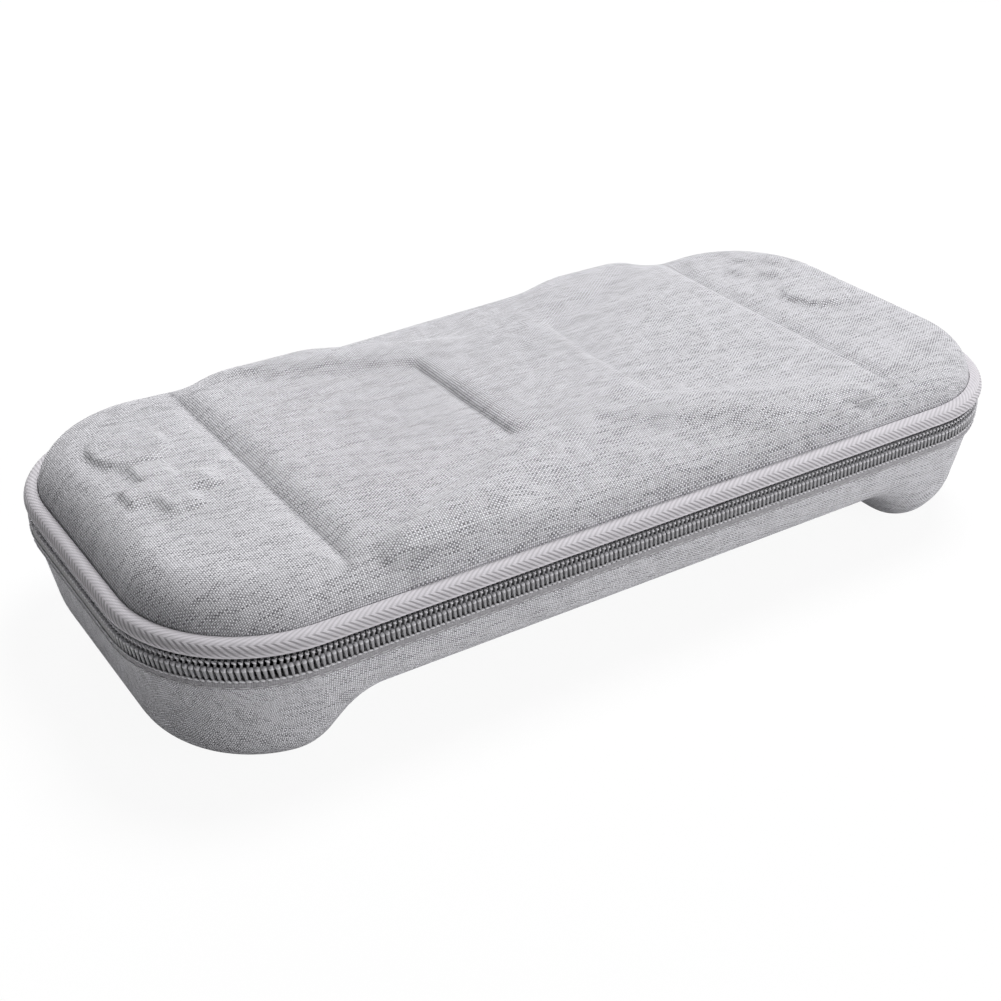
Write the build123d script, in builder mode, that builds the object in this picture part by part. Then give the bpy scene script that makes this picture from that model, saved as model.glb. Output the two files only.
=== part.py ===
"""Zip case for a portable game console with grips: two moulded shells, a coil zip and a cloth hinge.

Millimetres. X runs along the case, Y from the front to the hinge, Z up from the table under the grip wells.
"""

import os

from build123d import *

os.makedirs("parts", exist_ok=True)

# Plan of the case, where the lid's cloth meets the zip: the console's tablet and a grip panel at each end
tablet_width = 172.6
end_panel = 45.7
case_depth = 118.0
corner_radius = 34.0
wall = 3.5

# Heights: the zip's middle and the floor above the table, the lid's levels above its rim
zip_height = 34.0
floor_height = 12.8
panel_rise = 15.0
facet_rise = 1.3
cross_rise = 3.5
slope_rim_drop = 2.0

# Zip: the two coil halves, the bead over the lid's rim and the tape over the base's rim
coil_gap = 1.0
coil_height = 2.1
coil_out = 3.2
coil_round = 0.8
coil_clear = 0.3
bead_clear = 0.7
bead_height = 4.2
bead_out = 3.8
bead_round = 3.0
bead_lip = 0.9
rim_lap = 1.3
web_inner = 0.2
web_outer = 1.0
tape_thickness = 0.5
skirt_drop = 1.6
base_overhang = 2.5

# Cloth hinge along the back, and the ribbon inside each rim
hinge_half_height = 2.85
hinge_cloth = 0.9
hinge_end_gap = 0.4
binding_thickness = 0.6
binding_height = 4.0

# Rounding and draft of the two mouldings
panel_round = 11.3
facet_round = 14.4
cross_round = 11.5
base_round = 13.5
base_draft = 11.0

# Grip wells: a sloping flank on the inner side of each
flank_lead = 2.3
flank_run = 11.0
flank_round = 16.0
well_blend = 9.0

# Relief of the lid: grooves, the raised cross, the facets between its arms
groove_depth = 1.5
groove_inner_run = 5.2
groove_outer_run = 3.6
groove_round = 0.6
crease_depth = 0.7
crease_inner_run = 2.6
crease_outer_run = 3.0
crease_rise = 2.1
crease_reach = 25.5
crease_fade = 1.2
cross_half_width = 20.0
cross_half_depth = 28.0
arm_end_gap = 17.0
arm_slope = 0.49
arm_apex_y = 28.5
arm_taper = 62.0
facet_drop = 0.9
relief_round = 1.6

# Bumps over the controls, placed from the middle of their end panel
stick_diameter = 20.5
stick_rise = 1.8
left_stick = (1.65, 23.0)
right_stick = (-0.15, 5.0)
pad_place = (2.65, 0.0)
pad_span = 24.0
pad_arm = 9.0
pad_rise = 1.5
buttons_place = (-0.65, 32.0)
button_spacing = 7.6
button_diameter = 7.4
button_rise = 1.3
bump_round = 1.1
bump_skirt = 3.0
bump_wall = 1.2

# Sliders, on the right end
slider_length = 9.0
slider_width = 6.2
slider_corner = 1.8
slider_plate = 1.2
slider_inner = 1.0
slider_clear = 0.3
slider_spacing = 12.4
inner_plate_width = 2.2
post_length = 5.0
post_thickness = 0.6
bridge_reach = 2.3
bridge_span = 7.0
bar_diameter = 1.6

# Pulls, each hung on the bar of its slider
eye_length = 4.4
eye_wall = 0.7
pull_clear = 0.25
pull_length = 22.0
pull_width = 8.0
pull_neck = 4.0
pull_thickness = 1.5
pull_corner = 2.0
pull_hole = 3.0

# Places that follow from these
groove_x = tablet_width / 2
case_length = tablet_width + 2 * end_panel
panel_middle_x = groove_x + end_panel / 2
flank_top_x = groove_x - flank_lead
flank_bottom_x = flank_top_x + flank_run
arm_reach = groove_x - arm_end_gap
crease_x = cross_half_width + crease_inner_run + crease_depth
base_rim_height = zip_height - coil_gap / 2 - coil_height - coil_clear - tape_thickness
bead_bottom = zip_height + coil_gap / 2 + coil_height + bead_clear
seam_height = bead_bottom + bead_height
lid_rim_height = bead_bottom - rim_lap
panel_height = lid_rim_height + panel_rise
facet_height = panel_height + facet_rise
cross_height = panel_height + cross_rise
slope_rim_height = panel_height - slope_rim_drop


def outline(grow):
    """Length, depth and corner radius of the case's outline, grown outwards."""
    return case_length + 2 * grow, case_depth + 2 * grow, corner_radius + grow


def domed_slab(inset, top, round_over):
    """A slab on the case's outline with its upper edge rounded over."""
    with BuildPart() as slab:
        with BuildSketch(Plane.XY.offset(lid_rim_height)):
            RectangleRounded(*outline(-inset))
        extrude(amount=top - lid_rim_height)
        fillet(slab.faces().sort_by(Axis.Z)[-1].edges(), round_over)
    return slab.part


def raised_cross(inset):
    """The four-armed cross in the middle of the lid, with sloping flanks."""
    top = cross_height - inset
    quarter = [
        (cross_half_width, cross_half_depth),
        (arm_reach, cross_half_depth + (arm_reach - cross_half_width) * arm_slope),
        (arm_reach, arm_apex_y + arm_reach * arm_slope),
    ]
    with BuildPart() as cross:
        with BuildSketch(Plane.XY.offset(top)):
            with BuildLine():
                Polyline(
                    *quarter,
                    (0, arm_apex_y),
                    *[(-x, y) for x, y in reversed(quarter)],
                    *[(-x, -y) for x, y in quarter],
                    (0, -arm_apex_y),
                    *[(x, -y) for x, y in reversed(quarter)],
                    close=True,
                )
            make_face()
        extrude(amount=panel_height - cross_height - groove_depth, taper=-arm_taper)
        fillet(cross.faces().sort_by(Axis.Z)[-1].edges(), relief_round)
        add(domed_slab(inset, top, cross_round - inset), mode=Mode.INTERSECT)
    return cross.part


def lid_form(inset):
    """The moulded lid as a solid: end panels, side facets, sloping front and back facets and the cross."""
    crown = panel_height - inset
    facet_top = facet_height - inset
    slope_top = cross_height - facet_drop - inset
    slope_rim = slope_rim_height - inset
    rim_y = case_depth / 2
    arm_middle_y = arm_apex_y + (cross_half_depth - arm_slope * cross_half_width - arm_apex_y) / 2
    slope_reach = (rim_y - arm_middle_y) / arm_slope
    with BuildPart() as sides:
        with BuildSketch(Plane.XY.offset(lid_rim_height)):
            with BuildLine():
                Polyline(
                    (0, arm_middle_y),
                    (groove_x, arm_middle_y + groove_x * arm_slope),
                    (groove_x, -arm_middle_y - groove_x * arm_slope),
                    (0, -arm_middle_y),
                    close=True,
                )
            make_face()
            mirror(about=Plane.YZ)
        extrude(amount=facet_top - lid_rim_height)
        add(domed_slab(inset, facet_top, facet_round - inset), mode=Mode.INTERSECT)
    with BuildPart() as slopes:
        with BuildSketch(Plane.YZ):
            with BuildLine():
                Polyline(
                    (-rim_y, slope_rim),
                    (-arm_apex_y, slope_top),
                    (arm_apex_y, slope_top),
                    (rim_y, slope_rim),
                    (rim_y, lid_rim_height),
                    (-rim_y, lid_rim_height),
                    close=True,
                )
            make_face()
        extrude(amount=slope_reach, both=True)
        with BuildSketch(Plane.XY.offset(lid_rim_height)):
            with BuildLine():
                Polyline((0, arm_middle_y), (slope_reach, rim_y), (-slope_reach, rim_y), close=True)
            make_face()
            mirror(about=Plane.XZ)
        extrude(amount=slope_top - lid_rim_height, mode=Mode.INTERSECT)
        add(domed_slab(inset, slope_top, cross_round - inset), mode=Mode.INTERSECT)
    with BuildPart() as form:
        add(domed_slab(inset, crown, panel_round - inset))
        add(sides.part)
        add(slopes.part)
        add(raised_cross(inset))
    return form.part


def base_form(inset):
    """The moulded base as a solid: a drafted tray, shallow in the middle and rounded underneath."""
    length, depth, radius = outline(base_overhang - inset)
    floor = floor_height + inset
    with BuildPart() as form:
        with BuildSketch(Plane.XY.offset(base_rim_height)):
            RectangleRounded(length, depth, radius)
        extrude(amount=inset - base_rim_height, taper=base_draft)
        with BuildSketch(Plane.XZ) as section:
            flank_top = (flank_top_x + inset / 2, floor)
            flank_bottom = (flank_bottom_x + inset / 2, inset)
            with BuildLine():
                Polyline(
                    (0, floor),
                    flank_top,
                    flank_bottom,
                    (length / 2, inset),
                    (length / 2, base_rim_height),
                    (0, base_rim_height),
                    close=True,
                )
            make_face()
            fillet(section.vertices().sort_by_distance(flank_top)[0], well_blend + inset)
            fillet(section.vertices().sort_by_distance(flank_bottom)[0], flank_round - inset)
            mirror(about=Plane.YZ)
        extrude(amount=depth / 2, both=True, mode=Mode.INTERSECT)
        walls = form.faces().filter_by(lambda face: abs(face.normal_at().Z) < 0.4)
        underside = walls.edges().filter_by(lambda edge: edge.bounding_box().max.Z < base_rim_height - 0.1)
        fillet(underside, base_round - inset)
    return form.part


def control_bumps(base, inset):
    """Low bumps over the console's two sticks, direction pad and four buttons."""
    foot = base - bump_skirt
    left_x = -panel_middle_x
    right_x = panel_middle_x
    with BuildPart() as bumps:
        with BuildSketch(Plane.XY.offset(foot)):
            left_place = (left_x + left_stick[0], left_stick[1])
            right_place = (right_x + right_stick[0], right_stick[1])
            with Locations(left_place, right_place):
                Circle(stick_diameter / 2 - inset)
        extrude(amount=bump_skirt + stick_rise)
        with BuildSketch(Plane.XY.offset(foot)):
            with Locations((left_x + pad_place[0], pad_place[1])):
                Rectangle(pad_span - 2 * inset, pad_arm - 2 * inset)
                Rectangle(pad_arm - 2 * inset, pad_span - 2 * inset)
        extrude(amount=bump_skirt + pad_rise)
        with BuildSketch(Plane.XY.offset(foot)):
            with Locations((right_x + buttons_place[0], buttons_place[1])):
                with PolarLocations(button_spacing, 4):
                    Circle(button_diameter / 2 - inset)
        extrude(amount=bump_skirt + button_rise)
        level_faces = bumps.faces().filter_by(Plane.XY)
        tops = level_faces.filter_by(lambda face: face.center().Z > base + bump_round / 2)
        fillet(tops.edges(), bump_round)
    return bumps.part


def band(inner, outer, bottom, top):
    """A band right round the case, between two offsets of its outline."""
    with BuildPart() as ring:
        with BuildSketch(Plane.XY.offset(bottom)):
            RectangleRounded(*outline(outer))
            RectangleRounded(*outline(inner), mode=Mode.SUBTRACT)
        extrude(amount=top - bottom)
    return ring.part


def coil_half(bottom):
    """One half of the zip chain as a plain rounded strip, open along the hinge."""
    with BuildPart() as coil:
        add(band(web_outer, coil_out, bottom, bottom + coil_height))
        with Locations((0, case_depth / 2, bottom)):
            Box(case_length - 2 * corner_radius, corner_radius, 3 * coil_height, mode=Mode.SUBTRACT)
        outer_faces = coil.faces().filter_by(lambda face: abs(face.normal_at().Z) < 0.5)
        outer_edges = outer_faces.edges().filter_by(Plane.XY)
        fillet(outer_edges.filter_by(outside_coil), coil_round)
    return coil.part


def outside_coil(edge):
    """Whether an edge lies on the coil's outer face, along the zip."""
    middle = edge.position_at(0.5)
    reach_x = abs(middle.X) - (case_length / 2 - corner_radius)
    reach_y = abs(middle.Y) - (case_depth / 2 - corner_radius)
    reach = max(reach_x, reach_y) if min(reach_x, reach_y) < 0 else (reach_x**2 + reach_y**2) ** 0.5
    return abs(reach - corner_radius - coil_out) < 0.01


def slider(side):
    """A zip slider: outer plate, thin post between the coil halves, inner plate, bridge for the pull."""
    middle_y = side * slider_spacing / 2
    end_x = case_length / 2
    plate_x = end_x + coil_out + slider_clear
    with BuildPart() as body:
        with BuildSketch(Plane.YZ.offset(plate_x)):
            with Locations((middle_y, zip_height)):
                RectangleRounded(slider_length, slider_width, slider_corner)
        extrude(amount=slider_plate)
        fillet(body.faces().sort_by(Axis.X)[-1].edges(), slider_plate / 3)
        with BuildSketch(Plane.YZ.offset(end_x - slider_inner)):
            with Locations((middle_y, zip_height)):
                Rectangle(post_length, post_thickness)
        extrude(until=Until.NEXT)
        with BuildSketch(Plane.YZ.offset(end_x - slider_inner)):
            with Locations((middle_y, zip_height)):
                RectangleRounded(slider_length, inner_plate_width, inner_plate_width / 3)
        extrude(amount=slider_inner - slider_clear / 2)
        with BuildSketch(Plane.XY.offset(zip_height)):
            from_plate = (Align.MIN, Align.CENTER)
            eye_space = eye_length + 2 * pull_clear
            with Locations((plate_x + slider_plate, middle_y)):
                Rectangle(bridge_reach + bar_diameter / 2, bridge_span, align=from_plate)
                Rectangle(bridge_reach + bar_diameter, eye_space, align=from_plate, mode=Mode.SUBTRACT)
        extrude(amount=bar_diameter / 2, both=True)
        with Locations(Location((plate_x + slider_plate + bridge_reach, middle_y, zip_height), (90, 0, 0))):
            Cylinder(bar_diameter / 2, bridge_span)
    return body.part


def pull(side):
    """A flat pull tab whose rolled eye turns on the slider's bar."""
    middle_y = side * slider_spacing / 2
    bar_x = case_length / 2 + coil_out + slider_clear + slider_plate + bridge_reach
    eye_radius = bar_diameter / 2 + pull_clear + eye_wall
    with BuildPart() as tab:
        with BuildSketch(Plane.YZ.offset(bar_x - pull_thickness / 2)):
            with Locations((middle_y, zip_height)):
                Rectangle(eye_length, pull_neck, align=(Align.CENTER, Align.MAX))
            with Locations((middle_y, zip_height - pull_neck / 2)):
                RectangleRounded(pull_width, pull_length, pull_corner, align=(Align.CENTER, Align.MAX))
            with Locations((middle_y, zip_height - pull_neck / 2 - pull_length + pull_width / 2)):
                Circle(pull_hole / 2, mode=Mode.SUBTRACT)
        extrude(amount=pull_thickness)
        with Locations(Location((bar_x, middle_y, zip_height), (90, 0, 0))):
            Cylinder(eye_radius, eye_length)
            Cylinder(eye_radius - eye_wall, pull_width, mode=Mode.SUBTRACT)
    return tab.part


# Lid: moulded shell with grooves and bumps outside, hollow inside
with BuildPart() as lid_shell:
    add(lid_form(0))
    with BuildSketch(Plane.XZ) as groove:
        with Locations((groove_x, panel_height - groove_depth)):
            Polygon(
                (0, 0),
                (2 * groove_outer_run, 2 * groove_depth),
                (-2 * groove_inner_run, 2 * (groove_depth + facet_height - panel_height)),
                align=None,
            )
        fillet(groove.vertices().sort_by(Axis.Y)[0], groove_round)
        mirror(about=Plane.YZ)
    extrude(amount=case_depth / 2, both=True, mode=Mode.SUBTRACT)
    with BuildSketch(Plane.XZ) as crease:
        with Locations((crease_x, facet_height - crease_depth)):
            Polygon(
                (0, 0),
                (2 * crease_outer_run, 2 * crease_depth),
                (-2 * crease_inner_run, 2 * crease_rise),
                align=None,
            )
        fillet(crease.vertices().sort_by(Axis.Y)[0], groove_round)
        mirror(about=Plane.YZ)
    extrude(amount=crease_reach, taper=crease_fade, mode=Mode.SUBTRACT)
    extrude(crease.sketch, amount=-crease_reach, taper=crease_fade, mode=Mode.SUBTRACT)
    add(control_bumps(panel_height, 0))
    add(lid_form(wall), mode=Mode.SUBTRACT)
    add(control_bumps(panel_height - wall, bump_wall), mode=Mode.SUBTRACT)
lid_shell.part.label = "lid_shell"
export_step(lid_shell.part, "parts/lid_shell.step")

# Base: moulded shell with its two wells
with BuildPart() as base_shell:
    add(base_form(0))
    add(base_form(wall), mode=Mode.SUBTRACT)
base_shell.part.label = "base_shell"
export_step(base_shell.part, "parts/base_shell.step")

# Upper tape: rolled over the lid's rim as a bead, with a web down to the coil
with BuildPart() as lid_tape:
    add(band(0, bead_out, bead_bottom, seam_height))
    fillet(lid_tape.faces().sort_by(Axis.Z)[-1].outer_wire().edges(), bead_round)
    fillet(lid_tape.faces().sort_by(Axis.Z)[0].outer_wire().edges(), bead_lip)
    add(band(web_inner, web_outer, zip_height + coil_gap / 2, bead_bottom))
lid_tape.part.label = "lid_tape"
export_step(lid_tape.part, "parts/lid_tape.step")

# Lower tape: a web up to the coil, a fold over the base's rim and a skirt outside it
with BuildPart() as base_tape:
    add(band(web_inner, web_outer, base_rim_height, zip_height - coil_gap / 2))
    add(band(web_outer, base_overhang + tape_thickness, base_rim_height, base_rim_height + tape_thickness))
    add(band(base_overhang, base_overhang + tape_thickness, base_rim_height - skirt_drop, base_rim_height))
base_tape.part.label = "base_tape"
export_step(base_tape.part, "parts/base_tape.step")

# Zip chain: the two coil halves
with BuildPart() as lid_coil:
    add(coil_half(zip_height + coil_gap / 2))
lid_coil.part.label = "lid_coil"
export_step(lid_coil.part, "parts/lid_coil.step")

with BuildPart() as base_coil:
    add(coil_half(zip_height - coil_gap / 2 - coil_height))
base_coil.part.label = "base_coil"
export_step(base_coil.part, "parts/base_coil.step")

# Hinge: a cloth strip that bulges across the gap along the back
with BuildPart() as hinge_strip:
    back_y = case_depth / 2
    with BuildSketch(Plane.YZ):
        with BuildLine():
            upper = ThreePointArc(
                (back_y + web_outer, zip_height + hinge_half_height),
                (back_y + bead_out, zip_height),
                (back_y + web_outer, zip_height - hinge_half_height),
            )
            lower = ThreePointArc(
                (back_y + web_outer, zip_height - hinge_half_height + hinge_cloth),
                (back_y + bead_out - hinge_cloth, zip_height),
                (back_y + web_outer, zip_height + hinge_half_height - hinge_cloth),
            )
            Line(upper @ 1, lower @ 0)
            Line(lower @ 1, upper @ 0)
        make_face()
    extrude(amount=case_length / 2 - corner_radius - hinge_end_gap, both=True)
hinge_strip.part.label = "hinge_strip"
export_step(hinge_strip.part, "parts/hinge_strip.step")

# Bindings: ribbon over the raw edge inside each rim
lined = wall + binding_thickness
with BuildPart() as lid_binding:
    add(domed_slab(wall, panel_height - wall, panel_round - wall))
    add(domed_slab(lined, panel_height - lined, panel_round - lined), mode=Mode.SUBTRACT)
    split(bisect_by=Plane.XY.offset(lid_rim_height + binding_height), keep=Keep.BOTTOM)
    add(band(-lined, 0, lid_rim_height - binding_thickness, lid_rim_height))
lid_binding.part.label = "lid_binding"
export_step(lid_binding.part, "parts/lid_binding.step")

with BuildPart() as base_binding:
    add(base_form(wall))
    add(base_form(lined), mode=Mode.SUBTRACT)
    split(bisect_by=Plane.XY.offset(base_rim_height - binding_height), keep=Keep.TOP)
    add(band(base_overhang - lined, web_inner, base_rim_height, base_rim_height + binding_thickness))
base_binding.part.label = "base_binding"
export_step(base_binding.part, "parts/base_binding.step")

# Sliders and pulls, one pair each side of the middle of the right end
for place, side in (("front", -1), ("back", 1)):
    with BuildPart() as slider_body:
        add(slider(side))
    slider_body.part.label = f"slider_{place}"
    export_step(slider_body.part, f"parts/slider_{place}.step")
    with BuildPart() as pull_tab:
        add(pull(side))
    pull_tab.part.label = f"pull_{place}"
    export_step(pull_tab.part, f"parts/pull_{place}.step")
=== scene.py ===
"""Zip case for a portable game console: cloth shells, herringbone bead, coil zip, sliders and studio."""

import math

import bpy
import numpy as np
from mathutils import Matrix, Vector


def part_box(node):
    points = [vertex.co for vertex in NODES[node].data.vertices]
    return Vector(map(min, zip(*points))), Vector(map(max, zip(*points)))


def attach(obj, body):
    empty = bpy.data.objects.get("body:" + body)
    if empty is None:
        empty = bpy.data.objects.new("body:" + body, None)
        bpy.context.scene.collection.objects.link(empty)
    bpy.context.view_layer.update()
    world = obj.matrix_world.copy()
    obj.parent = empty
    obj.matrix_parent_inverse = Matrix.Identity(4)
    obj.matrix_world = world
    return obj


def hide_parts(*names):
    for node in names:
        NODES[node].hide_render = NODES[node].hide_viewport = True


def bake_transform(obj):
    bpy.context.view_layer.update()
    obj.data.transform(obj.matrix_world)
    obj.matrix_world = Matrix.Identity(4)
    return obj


bl_info = {
    "name": "Console zip case",
    "version": (1, 0, 0),
    "blender": (4, 5, 0),
    "location": "3D View > Sidebar > Zip case",
    "description": "Dresses the case's solids with cloth, tapes, coil and stitching, in a studio",
    "category": "Object",
}

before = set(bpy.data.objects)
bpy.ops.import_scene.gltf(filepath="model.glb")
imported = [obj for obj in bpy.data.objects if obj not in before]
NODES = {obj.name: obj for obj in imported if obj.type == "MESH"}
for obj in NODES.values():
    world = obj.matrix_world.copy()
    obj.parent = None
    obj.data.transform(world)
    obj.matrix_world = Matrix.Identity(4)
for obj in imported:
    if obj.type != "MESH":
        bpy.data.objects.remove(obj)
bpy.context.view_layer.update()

MM = 0.001

# Outline where the lid's cloth meets the zip, and the levels of the zip's pieces
LID_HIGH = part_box("lid_shell")[1]
BASE_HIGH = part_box("base_shell")[1]
BEAD_LOW, BEAD_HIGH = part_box("lid_tape")
TAPE_LOW, TAPE_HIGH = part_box("base_tape")
LID_COIL_LOW, LID_COIL_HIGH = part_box("lid_coil")
BASE_COIL_LOW, BASE_COIL_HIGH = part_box("base_coil")
HINGE_LOW, HINGE_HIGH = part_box("hinge_strip")
HALF_LENGTH = LID_HIGH.x
HALF_DEPTH = LID_HIGH.y
CORNER = 34.0 * MM
STRAIGHT_X = HALF_LENGTH - CORNER
STRAIGHT_Y = HALF_DEPTH - CORNER
ZIP_MIDDLE = (LID_COIL_LOW.z + BASE_COIL_HIGH.z) / 2

# Way round the outline from the right end of the hinge, and the share of it that the coil takes
PATH_LENGTH = 2 * math.pi * CORNER + 4 * STRAIGHT_X + 4 * STRAIGHT_Y
COIL_RUN = PATH_LENGTH - 2 * STRAIGHT_X
RIGHT_END_MIDDLE = math.pi / 2 * CORNER + STRAIGHT_Y

# Relief of the lid: its grooves and creases to both sides of the middle, and the level of its foot
GROOVE_X = 86.3 * MM
CREASE_X = 23.3 * MM
RELIEF_FOOT = 43.0 * MM

# Both tapes reach up behind the coil, between these two depths, and are painted dark there as shade
WEB_INNER = 0.2 * MM
WEB_OUTER = 1.0 * MM
SHADED_WEB = (0.05, 0.05, 0.055, 1.0)


class CaseCloth(bpy.types.PropertyGroup):
    """Sizes and colours of the heathered cloth and the lining."""

    warp_pitch: bpy.props.FloatProperty(
        name="Warp pitch",
        description="Distance between the yarns that run from front to back",
        default=0.58 * MM,
        min=0.2 * MM,
        precision=5,
        subtype="DISTANCE",
        unit="LENGTH",
    )
    weft_pitch: bpy.props.FloatProperty(
        name="Weft pitch",
        description="Distance between the yarns that run along the case",
        default=0.44 * MM,
        min=0.2 * MM,
        precision=5,
        subtype="DISTANCE",
        unit="LENGTH",
    )
    pale_yarn: bpy.props.FloatVectorProperty(
        name="Pale yarn",
        description="Colour of the undyed fibres",
        default=(0.965, 0.957, 1.0),
        min=0.0,
        max=1.0,
        subtype="COLOR",
    )
    grey_yarn: bpy.props.FloatVectorProperty(
        name="Grey yarn",
        description="Colour of the dyed fibres",
        default=(0.08, 0.078, 0.088),
        min=0.0,
        max=1.0,
        subtype="COLOR",
    )
    lining: bpy.props.FloatVectorProperty(
        name="Lining",
        description="Colour of the brushed lining",
        default=(0.038, 0.038, 0.042),
        min=0.0,
        max=1.0,
        subtype="COLOR",
    )
    lid_grain: bpy.props.FloatProperty(
        name="Lid grain",
        description="Spacing of the mesh that the moulded lid is relaxed on",
        default=0.75 * MM,
        min=0.5 * MM,
        precision=5,
        subtype="DISTANCE",
        unit="LENGTH",
    )
    base_grain: bpy.props.FloatProperty(
        name="Base grain",
        description="Spacing of the mesh that the moulded base is relaxed on",
        default=1.1 * MM,
        min=0.5 * MM,
        precision=5,
        subtype="DISTANCE",
        unit="LENGTH",
    )


class CaseZip(bpy.types.PropertyGroup):
    """Sizes and colours of the zip, its tapes and its stitching."""

    coil_pitch: bpy.props.FloatProperty(
        name="Coil pitch",
        description="Distance from loop to loop along one half of the chain",
        default=1.39 * MM,
        min=0.5 * MM,
        precision=5,
        subtype="DISTANCE",
        unit="LENGTH",
    )
    wire: bpy.props.FloatProperty(
        name="Wire",
        description="Thickness of the nylon that the coil is wound from",
        default=0.66 * MM,
        min=0.2 * MM,
        precision=5,
        subtype="DISTANCE",
        unit="LENGTH",
    )
    rib_pitch: bpy.props.FloatProperty(
        name="Herringbone rib",
        description="Distance from rib to rib along the bead",
        default=1.75 * MM,
        min=0.3 * MM,
        precision=5,
        subtype="DISTANCE",
        unit="LENGTH",
    )
    bead: bpy.props.FloatVectorProperty(
        name="Bead tape",
        description="Colour of the herringbone tape over the lid's rim",
        default=(0.54, 0.52, 0.55),
        min=0.0,
        max=1.0,
        subtype="COLOR",
    )
    tape: bpy.props.FloatVectorProperty(
        name="Lower tape",
        description="Colour of the tape over the base's rim",
        default=(0.36, 0.35, 0.37),
        min=0.0,
        max=1.0,
        subtype="COLOR",
    )
    hinge: bpy.props.FloatVectorProperty(
        name="Hinge cloth",
        description="Colour of the strip along the back",
        default=(0.43, 0.43, 0.45),
        min=0.0,
        max=1.0,
        subtype="COLOR",
    )
    nylon: bpy.props.FloatVectorProperty(
        name="Coil nylon",
        description="Colour of the coil",
        default=(0.46, 0.455, 0.475),
        min=0.0,
        max=1.0,
        subtype="COLOR",
    )
    thread: bpy.props.FloatVectorProperty(
        name="Thread",
        description="Colour of the sewing thread",
        default=(0.68, 0.672, 0.70),
        min=0.0,
        max=1.0,
        subtype="COLOR",
    )
    enamel: bpy.props.FloatVectorProperty(
        name="Enamel",
        description="Colour of the sliders and pulls",
        default=(0.25, 0.25, 0.26),
        min=0.0,
        max=1.0,
        subtype="COLOR",
    )


class CaseStudio(bpy.types.PropertyGroup):
    """Camera and light of the studio."""

    camera_place: bpy.props.FloatVectorProperty(
        name="Camera place",
        description="Where the camera stands",
        default=(-225.81 * MM, -331.18 * MM, 247.49 * MM),
        precision=5,
        subtype="TRANSLATION",
        unit="LENGTH",
    )
    camera_turn: bpy.props.FloatVectorProperty(
        name="Camera turn",
        description="Tilt, roll and turn of the camera",
        default=(math.radians(59.690), math.radians(0.0), math.radians(-33.011)),
        subtype="EULER",
        unit="ROTATION",
    )
    lens: bpy.props.FloatProperty(
        name="Lens",
        description="Focal length on a sensor 36 mm wide",
        default=57.68,
        min=10.0,
        subtype="DISTANCE_CAMERA",
        unit="CAMERA",
    )
    sky: bpy.props.FloatProperty(
        name="Sky",
        description="Strength of the even light from all round",
        default=0.072,
        min=0.0,
    )
    key: bpy.props.FloatProperty(
        name="Key lamp",
        description="Power of the large soft lamp overhead, a little to the right",
        default=19.0,
        min=0.0,
        subtype="POWER",
        unit="POWER",
    )
    fill: bpy.props.FloatProperty(
        name="Fill lamp",
        description="Power of the low lamp at the front right",
        default=7.2,
        min=0.0,
        subtype="POWER",
        unit="POWER",
    )
    back: bpy.props.FloatProperty(
        name="Back lamp",
        description="Power of the low lamp behind the case",
        default=7.2,
        min=0.0,
        subtype="POWER",
        unit="POWER",
    )
    floor: bpy.props.FloatVectorProperty(
        name="Floor",
        description="Colour of the floor",
        default=(0.92, 0.92, 0.92),
        min=0.0,
        max=1.0,
        subtype="COLOR",
    )


class Socket:
    """A socket in a finish's node tree. Sums and products on it add Math nodes."""

    def __init__(self, finish, socket):
        self.finish = finish
        self.socket = socket

    def math(self, operation, *others):
        values = dict(enumerate((self,) + others))
        return self.finish.node("ShaderNodeMath", {"operation": operation}, values)

    def __add__(self, other):
        return self.math("ADD", other)

    def __radd__(self, other):
        return self.math("ADD", other)

    def __mul__(self, other):
        return self.math("MULTIPLY", other)

    def __rmul__(self, other):
        return self.math("MULTIPLY", other)

    def __sub__(self, other):
        return self.math("SUBTRACT", other)

    def __rsub__(self, other):
        return self.finish.node("ShaderNodeMath", {"operation": "SUBTRACT"}, {0: other, 1: self})

    def __truediv__(self, other):
        return self.math("DIVIDE", other)

    def __mod__(self, other):
        return self.math("FLOORED_MODULO", other)

    def __pow__(self, other):
        return self.math("POWER", other)

    def __abs__(self):
        return self.math("ABSOLUTE")


def rgba(colour, strength=1.0):
    """A property's colour, made lighter or darker, with full opacity."""
    return (strength * colour[0], strength * colour[1], strength * colour[2], 1.0)


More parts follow.
